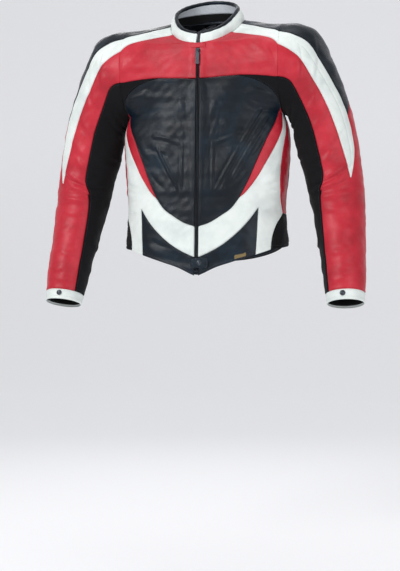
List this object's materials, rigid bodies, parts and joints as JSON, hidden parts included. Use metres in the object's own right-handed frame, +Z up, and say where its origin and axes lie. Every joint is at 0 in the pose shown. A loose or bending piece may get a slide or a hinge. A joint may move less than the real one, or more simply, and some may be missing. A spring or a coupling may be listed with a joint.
{
  "type": "leather riding jacket",
  "caption": "Panelled leather motorcycle jacket in worn shape, stand-up collar, front zip, pre-curved sleeves, stretch panels, press-stud cuffs and pointed hem.",
  "frame": {"origin": "midway between the inner ends of the two shoulder seams", "axes": "+Z up along the wearer's spine, -Y towards the front, +X towards the wearer's left"},
  "size_m": [0.798, 0.2487, 0.7864],
  "materials": {
    "red_leather": "satin",
    "white_leather": "satin",
    "black_leather": "satin",
    "black_stretch": "matt ribbed",
    "grey_mesh": "matt",
    "armour_foam": "matt",
    "dark_metal": "satin",
    "black_tape": "matt",
    "black_mesh": "matt",
    "woven_tag": "satin"
  },
  "bodies": {
    "torso": {"yoke_front_left": "red_leather", "yoke_front_right": "red_leather", "chest_panel_left": "black_leather", "chest_panel_right": "black_leather", "chest_accents": "red_leather", "front_bands": "white_leather", "side_panel_left": "white_leather", "side_panel_right": "white_leather", "lower_fronts": "black_leather", "side_stripes": "red_leather", "side_stretch": "black_stretch", "underarm_stretch": "black_stretch", "shoulder_stripes": "white_leather", "back_yoke": "black_leather", "back_stretch": "black_stretch", "back_panel": "red_leather", "back_side_left": "black_leather", "back_side_right": "black_leather", "back_band": "white_leather", "back_waist_stretch": "black_stretch", "collar_outer": "white_leather", "collar_lining": "grey_mesh", "collar_binding": "black_leather", "torso_lining": "grey_mesh", "back_pad": "armour_foam", "hanger_loop": "black_tape", "waist_zip": "black_tape", "zip_tapes": "black_tape", "zip_teeth": "dark_metal", "zip_garage": "red_leather", "hem_tab": "black_leather", "hem_stud": "dark_metal", "waist_label": "woven_tag"},
    "zip_slider": {"zip_slider": "dark_metal"},
    "zip_pull": {"zip_pull": "dark_metal"},
    "left_upper_arm": {"left_shoulder_panel": "black_leather", "left_sleeve_stripe": "white_leather", "left_upper_sleeve": "red_leather", "left_upper_stretch": "black_stretch", "left_upper_lining": "black_mesh", "left_shoulder_armour": "armour_foam"},
    "left_lower_arm": {"left_forearm": "red_leather", "left_forearm_inner": "black_stretch", "left_cuff": "white_leather", "left_cuff_stud": "dark_metal", "left_forearm_lining": "black_mesh", "left_elbow_armour": "armour_foam"},
    "right_upper_arm": {"right_shoulder_panel": "black_leather", "right_sleeve_stripe": "white_leather", "right_upper_sleeve": "red_leather", "right_upper_stretch": "black_stretch", "right_upper_lining": "black_mesh", "right_shoulder_armour": "armour_foam"},
    "right_lower_arm": {"right_forearm": "red_leather", "right_forearm_inner": "black_stretch", "right_cuff": "white_leather", "right_cuff_stud": "dark_metal", "right_forearm_lining": "black_mesh", "right_elbow_armour": "armour_foam"}
  },
  "joints": [
    {"name": "left_shoulder_swing", "type": "hinge", "parent": "torso", "child": "left_upper_arm", "pos_m": [0.195, 0, -0.128], "axis": [-1, 0, 0], "range_deg": [-30, 80]},
    {"name": "left_elbow_bend", "type": "hinge", "parent": "left_upper_arm", "child": "left_lower_arm", "pos_m": [0.322, -0.069, -0.418], "axis": [-1, 0, 0], "range_deg": [0, 70]},
    {"name": "right_shoulder_swing", "type": "hinge", "parent": "torso", "child": "right_upper_arm", "pos_m": [-0.195, 0, -0.128], "axis": [-1, 0, 0], "range_deg": [-30, 80]},
    {"name": "right_elbow_bend", "type": "hinge", "parent": "right_upper_arm", "child": "right_lower_arm", "pos_m": [-0.322, -0.069, -0.418], "axis": [-1, 0, 0], "range_deg": [0, 70]},
    {"name": "zip_slide", "type": "slide", "parent": "torso", "child": "zip_slider", "axis": [0, -0.0398, -0.9992], "range_m": [0, 0.475]},
    {"name": "pull_swing", "type": "hinge", "parent": "zip_slider", "child": "zip_pull", "pos_m": [0, -0.10609, -0.09275], "axis": [-1, 0, 0], "range_deg": [0, 150]}
  ]
}
